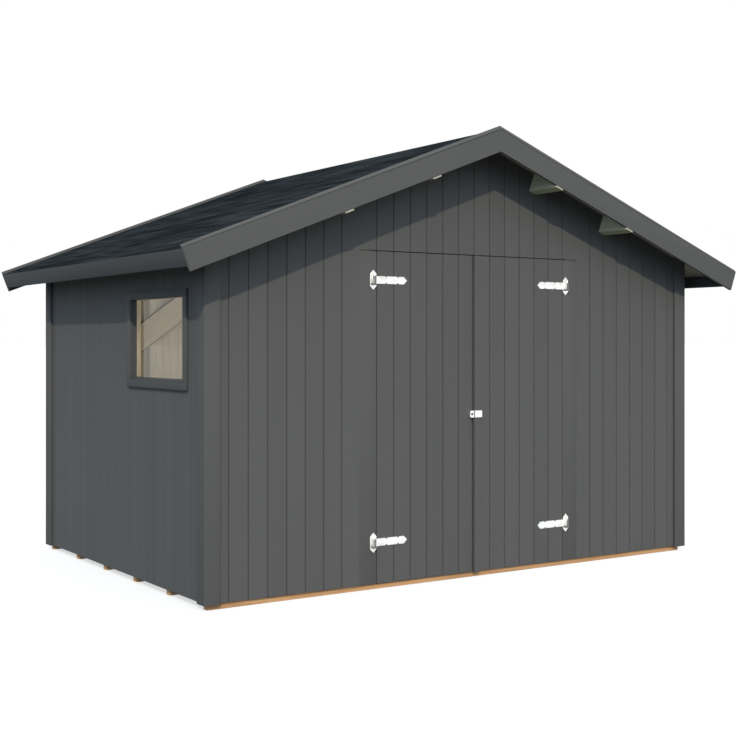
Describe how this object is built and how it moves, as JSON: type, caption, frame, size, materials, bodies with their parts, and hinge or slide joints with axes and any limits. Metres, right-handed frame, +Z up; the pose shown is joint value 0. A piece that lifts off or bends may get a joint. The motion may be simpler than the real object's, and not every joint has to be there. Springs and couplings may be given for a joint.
{
  "type": "tool shed",
  "caption": "Timber tool shed with outward-opening double doors, a fixed side window and a low gable roof on a raised joist floor.",
  "frame": {"origin": "on the ground under the middle of the shed: the centre of the roof's outline, at the underside of the floor joists", "axes": "+X to the right along the door front, +Y from the door front to the back, +Z up"},
  "size_m": [4.1606, 2.962, 2.7287],
  "materials": {
    "wall_paint": "matt anthracite paint on tongued boards",
    "trim_paint": "matt anthracite paint on planed boards",
    "raw_timber": "planed, unpainted spruce",
    "treated_timber": "pressure-treated, rough sawn",
    "roof_felt": "mineral-faced bitumen felt",
    "galvanised_steel": "bright zinc plating",
    "window_glass": "clear, polished"
  },
  "bodies": {
    "shed": {"floor_joists": "treated_timber", "floor_boards": "raw_timber", "left_wall": "wall_paint", "right_wall": "wall_paint", "rear_wall": "wall_paint", "front_wall_left": "wall_paint", "front_wall_right": "wall_paint", "front_gable": "wall_paint", "door_jamb_boards": "wall_paint", "front_corner_boards": "trim_paint", "rear_corner_boards": "trim_paint", "wall_studs": "raw_timber", "side_wall_plates": "raw_timber", "end_wall_plates": "raw_timber", "door_posts": "raw_timber", "door_head": "raw_timber", "gable_rafters": "raw_timber", "rear_wall_braces": "raw_timber", "purlins": "raw_timber", "ridge_purlin": "raw_timber", "left_roof_deck": "raw_timber", "right_roof_deck": "raw_timber", "left_roof_felt": "roof_felt", "right_roof_felt": "roof_felt", "front_left_bargeboard": "trim_paint", "front_right_bargeboard": "trim_paint", "rear_left_bargeboard": "trim_paint", "rear_right_bargeboard": "trim_paint", "eave_fascias": "trim_paint", "hinge_plates": "galvanised_steel", "window_side_trims": "trim_paint", "window_head_and_apron": "trim_paint", "window_sill": "trim_paint", "window_jambs": "trim_paint", "window_lining_ends": "trim_paint", "window_glass": "window_glass"},
    "left_door": {"left_door_boards": "wall_paint", "left_door_ledges": "raw_timber", "left_door_braces": "raw_timber", "left_door_straps": "galvanised_steel", "lock_keeper": "galvanised_steel"},
    "right_door": {"right_door_boards": "wall_paint", "right_door_ledges": "raw_timber", "right_door_braces": "raw_timber", "right_door_straps": "galvanised_steel", "lock_case": "galvanised_steel"}
  },
  "joints": [
    {"name": "left_door_hinge", "type": "hinge", "parent": "shed", "child": "left_door", "pos_m": [-0.745, -1.239, 1], "axis": [0, 0, -1], "range_deg": [0, 170]},
    {"name": "right_door_hinge", "type": "hinge", "parent": "shed", "child": "right_door", "pos_m": [0.745, -1.239, 1], "axis": [0, 0, 1], "range_deg": [0, 170]}
  ]
}
